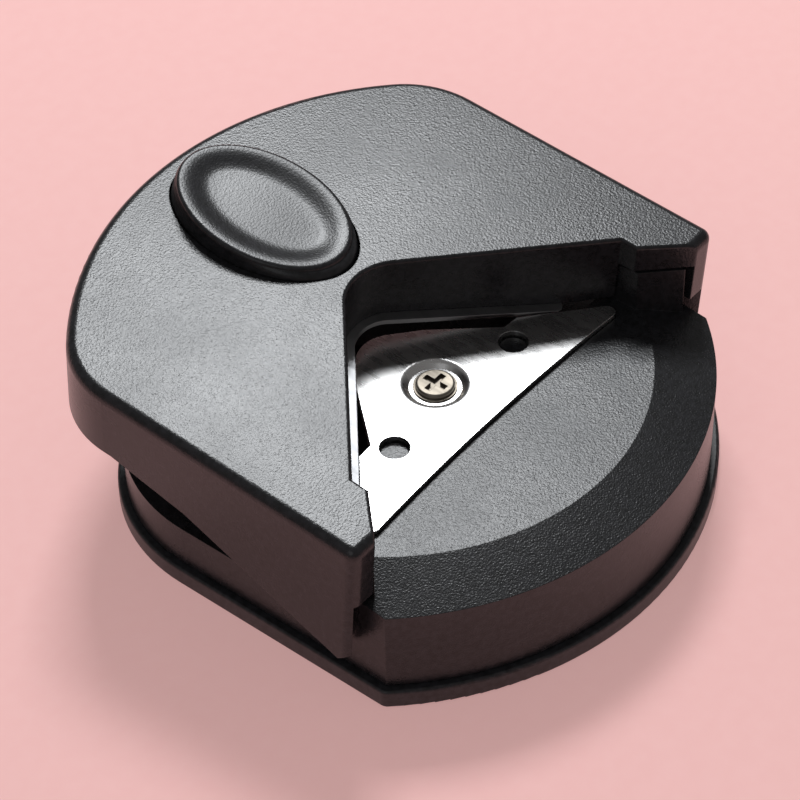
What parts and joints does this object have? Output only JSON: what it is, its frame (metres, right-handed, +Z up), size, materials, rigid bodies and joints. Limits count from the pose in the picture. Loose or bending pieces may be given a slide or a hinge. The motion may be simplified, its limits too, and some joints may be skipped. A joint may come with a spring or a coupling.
{
  "type": "corner rounder",
  "caption": "Desktop corner rounder: pressing the hinged lever shears a sheet's corner to a 4 mm radius between a V blade and a triangular steel die.",
  "frame": {"origin": "under the middle of the object, on the surface it stands on", "axes": "+X to the right seen from the front, +Y from the paper mouth to the thumb pad, +Z up"},
  "size_m": [0.06, 0.066, 0.0284],
  "materials": {
    "lever_plastic": "finely textured black ABS",
    "pad_plastic": "finely textured black ABS",
    "housing_plastic": "finely textured black ABS",
    "cover_plastic": "satin black ABS",
    "holder_plastic": "smooth black acetal",
    "die_steel": "satin nickel-plated steel",
    "blade_steel": "ground hardened steel",
    "screw_nickel": "nickel-plated",
    "small_steel": "zinc-plated",
    "spring_steel": "bright spring wire"
  },
  "bodies": {
    "base": {"housing": "housing_plastic", "die_plate": "die_steel", "die_screw": "screw_nickel", "die_screw_washer": "screw_nickel", "die_screw_nut": "small_steel", "left_hinge_pin": "small_steel", "right_hinge_pin": "small_steel", "left_return_spring": "spring_steel", "right_return_spring": "spring_steel"},
    "lever": {"lever_shell": "lever_plastic", "thumb_pad": "pad_plastic", "cutting_blade": "blade_steel", "blade_holder": "holder_plastic", "blade_screw_rear": "small_steel", "blade_screw_left": "small_steel", "blade_screw_right": "small_steel", "holder_screw_rear": "small_steel", "holder_screw_left": "small_steel", "holder_screw_right": "small_steel"},
    "cover": {"bottom_cover": "cover_plastic"}
  },
  "joints": [
    {"name": "lever_press", "type": "hinge", "parent": "base", "child": "lever", "pos_m": [0, -0.0127, 0.0139], "axis": [-1, 0, 0], "range_deg": [0, 7], "stiffness_Nm_per_rad": 1.4, "springref_deg": -8.59, "deforming": ["left_return_spring", "right_return_spring"]},
    {"name": "cover_pull", "type": "slide", "parent": "base", "child": "cover", "axis": [0, 0, -1], "range_m": [0, 0.012]}
  ]
}
